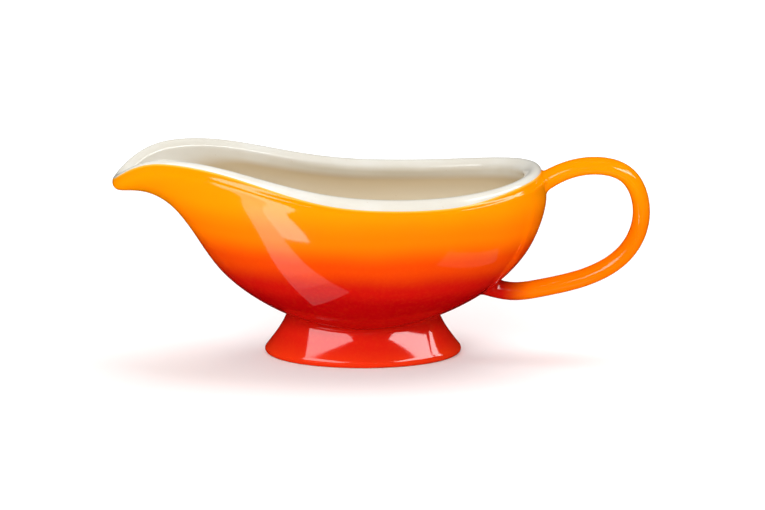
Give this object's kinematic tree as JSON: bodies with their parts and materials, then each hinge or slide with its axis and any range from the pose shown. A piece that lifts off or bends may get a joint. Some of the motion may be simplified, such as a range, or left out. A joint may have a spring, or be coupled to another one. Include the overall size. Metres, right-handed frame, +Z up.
{
  "type": "gravy boat",
  "caption": "Oval gravy boat with a long pouring spout, a rolled lip, a loop handle and a flared oval foot, in glazed stoneware.",
  "frame": {"origin": "centre of the foot's standing ring, on the surface it stands on", "axes": "+X from the spout towards the handle, +Z up, +Y to the left of someone who looks along +X"},
  "size_m": [0.2358, 0.0936, 0.0914],
  "materials": {
    "stoneware": "fired, unglazed",
    "joint_slip": "fired slip, unglazed",
    "flame_glaze": "gloss, orange at the lip fading to red at the waist",
    "cream_glaze": "gloss, warm cream"
  },
  "bodies": {
    "root": {"bowl": "stoneware", "foot": "stoneware", "handle": "stoneware", "foot_joint_slip": "joint_slip", "handle_top_slip": "joint_slip", "handle_low_slip": "joint_slip", "bowl_glaze": "flame_glaze", "liner_glaze": "cream_glaze", "foot_glaze": "flame_glaze", "foot_hollow_glaze": "flame_glaze", "handle_glaze": "flame_glaze"}
  },
  "joints": []
}
